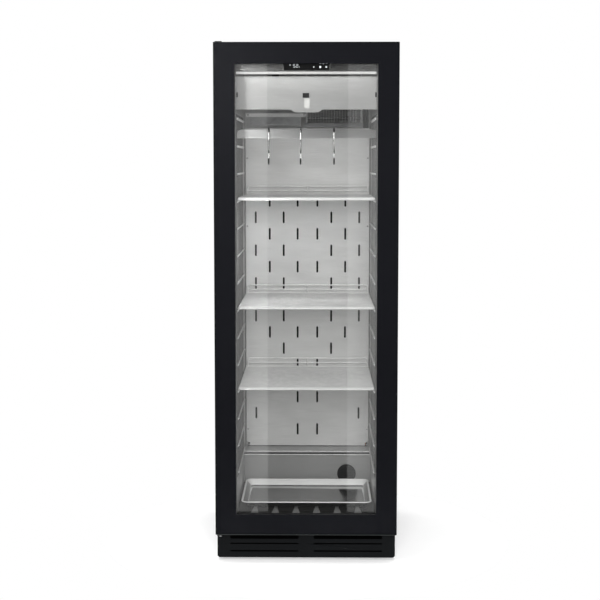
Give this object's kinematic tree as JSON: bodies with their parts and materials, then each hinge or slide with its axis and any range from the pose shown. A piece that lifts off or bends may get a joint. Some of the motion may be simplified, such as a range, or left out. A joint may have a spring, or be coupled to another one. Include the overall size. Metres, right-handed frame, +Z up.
{
  "type": "dry aging cabinet",
  "caption": "Tall glass-door dry aging cabinet: vented steel-lined inner space with wire shelves, hanging rail with hooks, collecting tray and cooling unit.",
  "frame": {"origin": "on the floor, under the middle of the cabinet's bounding box", "axes": "+X to the cabinet's right as seen from the front, +Y towards its back, +Z up; the door faces -Y"},
  "size_m": [0.595, 0.685, 1.703],
  "materials": {
    "black_paint": "fine-textured satin black powder coat",
    "stainless": "brushed stainless sheet, fine horizontal grain",
    "bright_steel": "electropolished stainless wire",
    "zinc": "galvanised sheet with faint spangle",
    "foam": "rigid cream foam",
    "clear_glass": "clear toughened glass",
    "black_print": "black enamel printed behind glass",
    "black_gloss": "gloss black display cover",
    "black_plastic": "moulded black plastic",
    "white_plastic": "white acetal and tube plastic",
    "light_lens": "frosted light cover",
    "seal_rubber": "soft black magnetic seal",
    "aluminium": "mill-finish fins and sheet",
    "copper": "drawn copper tube"
  },
  "bodies": {
    "cabinet": {"outer_case": "black_paint", "insulation_foam": "foam", "inner_liner": "stainless", "front_frame": "stainless", "rear_panel": "zinc", "rear_grille": "black_paint", "floor_plate": "zinc", "base_pan": "zinc", "plinth_grille": "black_paint", "hinge_plate_lower": "black_paint", "hinge_plate_upper": "black_paint", "hinge_pin_lower": "bright_steel", "hinge_pin_upper": "bright_steel", "power_inlet": "black_plastic", "foot_front_left": "black_plastic", "foot_front_right": "black_plastic", "foot_rear_left": "black_plastic", "foot_rear_right": "black_plastic", "duct_panel": "stainless", "side_ladder_left": "stainless", "side_ladder_right": "stainless", "hanging_rail": "stainless", "rail_bracket_left": "stainless", "rail_bracket_right": "stainless", "control_housing": "stainless", "display_panel": "black_gloss", "light_strip": "light_lens", "evaporator_cover": "stainless", "air_sensor": "black_plastic", "evaporator_coil": "aluminium", "drip_pan": "aluminium", "fan_shroud": "zinc", "compressor": "black_paint", "evaporation_pan": "black_plastic", "condenser_coil": "aluminium", "condenser_fan_frame": "black_plastic", "suction_line": "copper", "discharge_line": "copper", "drain_tube": "white_plastic", "filter_socket": "black_plastic"},
    "door": {"door_frame": "black_paint", "door_front_glass": "clear_glass", "glass_border": "black_print", "glass_spacer": "black_plastic", "door_inner_glass": "clear_glass", "door_gasket": "seal_rubber", "door_grip": "black_paint", "hinge_bush_lower": "white_plastic", "hinge_bush_upper": "white_plastic"},
    "shelf_lower": {"shelf_1": "bright_steel"},
    "shelf_middle": {"shelf_2": "bright_steel"},
    "shelf_upper": {"shelf_3": "bright_steel"},
    "tray": {"drip_tray": "stainless"},
    "hook_left": {"hook_1": "bright_steel"},
    "hook_middle": {"hook_2": "bright_steel"},
    "hook_right": {"hook_3": "bright_steel"},
    "fan_rotor": {"circulation_fan": "black_plastic"},
    "condenser_rotor": {"condenser_fan": "black_plastic"},
    "filter": {"charcoal_filter": "black_plastic"}
  },
  "joints": [
    {"name": "door_hinge", "type": "hinge", "parent": "cabinet", "child": "door", "pos_m": [-0.2835, -0.3205, 0.9], "axis": [0, 0, -1], "range_deg": [0, 110]},
    {"name": "shelf_lower_slide", "type": "slide", "parent": "cabinet", "child": "shelf_lower", "axis": [0, -1, 0], "range_m": [0, 0.04]},
    {"name": "shelf_middle_slide", "type": "slide", "parent": "cabinet", "child": "shelf_middle", "axis": [0, -1, 0], "range_m": [0, 0.04]},
    {"name": "shelf_upper_slide", "type": "slide", "parent": "cabinet", "child": "shelf_upper", "axis": [0, -1, 0], "range_m": [0, 0.04]},
    {"name": "tray_slide", "type": "slide", "parent": "cabinet", "child": "tray", "axis": [0, -1, 0], "range_m": [0, 0.07]},
    {"name": "hook_left_slide", "type": "slide", "parent": "cabinet", "child": "hook_left", "axis": [1, 0, 0], "range_m": [-0.04, 0.04]},
    {"name": "hook_middle_slide", "type": "slide", "parent": "cabinet", "child": "hook_middle", "axis": [1, 0, 0], "range_m": [-0.04, 0.04]},
    {"name": "hook_right_slide", "type": "slide", "parent": "cabinet", "child": "hook_right", "axis": [1, 0, 0], "range_m": [-0.04, 0.04]},
    {"name": "circulation_fan_spin", "type": "hinge", "parent": "cabinet", "child": "fan_rotor", "pos_m": [-0.113, 0.1395, 1.5757], "axis": [0, -1, 0], "continuous": true},
    {"name": "condenser_fan_spin", "type": "hinge", "parent": "cabinet", "child": "condenser_rotor", "pos_m": [-0.13, 0.3115, 0.0793], "axis": [0, 1, 0], "continuous": true},
    {"name": "filter_twist", "type": "hinge", "parent": "cabinet", "child": "filter", "pos_m": [0.143, 0.1485, 0.1885], "axis": [0, -1, 0], "range_deg": [0, 90]}
  ]
}
